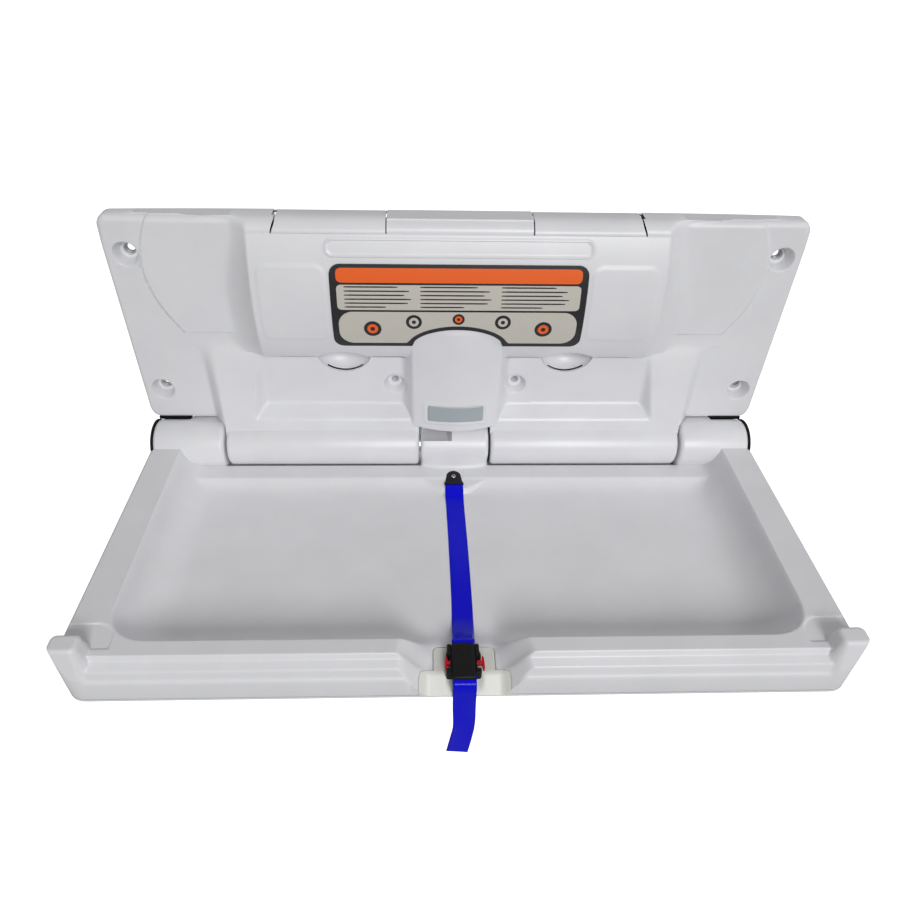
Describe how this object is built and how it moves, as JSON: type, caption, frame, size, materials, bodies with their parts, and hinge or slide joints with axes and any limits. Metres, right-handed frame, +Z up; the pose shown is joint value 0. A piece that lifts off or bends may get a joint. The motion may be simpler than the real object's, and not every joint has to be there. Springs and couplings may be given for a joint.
{
  "type": "baby changing station",
  "caption": "Horizontal wall-mounted baby changing station: moulded wall unit with a liner dispenser, fold-down basin tray on a hinge tube, safety strap with a side-release buckle.",
  "frame": {"origin": "on the wall face, at the middle of the four corner screw holes", "axes": "+X along the hinge line to the viewer's right, +Y into the wall, +Z up"},
  "size_m": [0.866, 0.4407, 0.4732],
  "materials": {
    "moulding": "fine moulded grain, light grey",
    "ivory": "smooth ivory moulding",
    "grey_plate": "smooth grey plate",
    "printed_plate": "printed plastic sheet",
    "steel": "zinc plated",
    "black_steel": "black coat",
    "black_plastic": "fine moulded grain, black",
    "nylon": "natural",
    "red_plastic": "red",
    "webbing": "glossy royal blue webbing"
  },
  "bodies": {
    "wall_unit": {"wall_panel": "moulding", "wall_backplate": "steel", "panel_screw_1": "steel", "panel_screw_2": "steel", "panel_screw_3": "steel", "panel_screw_4": "steel", "instruction_plate": "printed_plate", "column_plate": "grey_plate", "door_pin_right": "steel", "door_pin_left": "steel", "hinge_tube": "steel", "hinge_bracket_right": "black_steel", "hinge_bracket_left": "black_steel", "tube_plug_right": "black_plastic", "tube_plug_left": "black_plastic", "damper_cylinder": "black_steel", "damper_bracket": "steel", "damper_pivot": "steel"},
    "damper_piston": {"damper_rod": "steel", "damper_yoke": "black_steel"},
    "liner_door_right": {"liner_door_right": "moulding"},
    "liner_door_left": {"liner_door_left": "moulding"},
    "tray": {"tray_top": "moulding", "tray_cover": "moulding", "cover_screw_1": "steel", "cover_screw_2": "steel", "cover_screw_3": "steel", "cover_screw_4": "steel", "cover_screw_5": "steel", "cover_screw_6": "steel", "tray_bush_right": "nylon", "tray_bush_left": "nylon", "knuckle_bush_right": "nylon", "knuckle_bush_left": "nylon", "crank_pin": "steel", "front_insert": "ivory", "strap_bracket": "black_plastic", "strap_screw": "steel", "strap": "webbing", "strap_tail": "webbing", "buckle_body": "black_plastic", "buckle_tongue": "black_plastic"},
    "buckle_button_right": {"buckle_button_right": "red_plastic"},
    "buckle_button_left": {"buckle_button_left": "red_plastic"}
  },
  "joints": [
    {"name": "tray_fold", "type": "hinge", "parent": "wall_unit", "child": "tray", "pos_m": [0, -0.045, -0.17875], "axis": [-1, 0, 0], "range_deg": [0, 90]},
    {"name": "damper_slide", "type": "slide", "parent": "wall_unit", "child": "damper_piston", "axis": [0, 0, -1], "range_m": [0, 0.0365]},
    {"name": "liner_door_right_hinge", "type": "hinge", "parent": "wall_unit", "child": "liner_door_right", "pos_m": [0.156, -0.006, 0.14725], "axis": [-1, 0, 0], "range_deg": [0, 85]},
    {"name": "liner_door_left_hinge", "type": "hinge", "parent": "wall_unit", "child": "liner_door_left", "pos_m": [-0.156, -0.006, 0.14725], "axis": [-1, 0, 0], "range_deg": [0, 85]},
    {"name": "buckle_button_right_press", "type": "slide", "parent": "tray", "child": "buckle_button_right", "axis": [-1, 0, 0], "range_m": [0, 0.003], "stiffness_N_per_m": 400},
    {"name": "buckle_button_left_press", "type": "slide", "parent": "tray", "child": "buckle_button_left", "axis": [1, 0, 0], "range_m": [0, 0.003], "stiffness_N_per_m": 400}
  ],
  "couplings": [
    {"joint": "damper_slide", "follows": "tray_fold", "m_per_rad": 0.023}
  ]
}
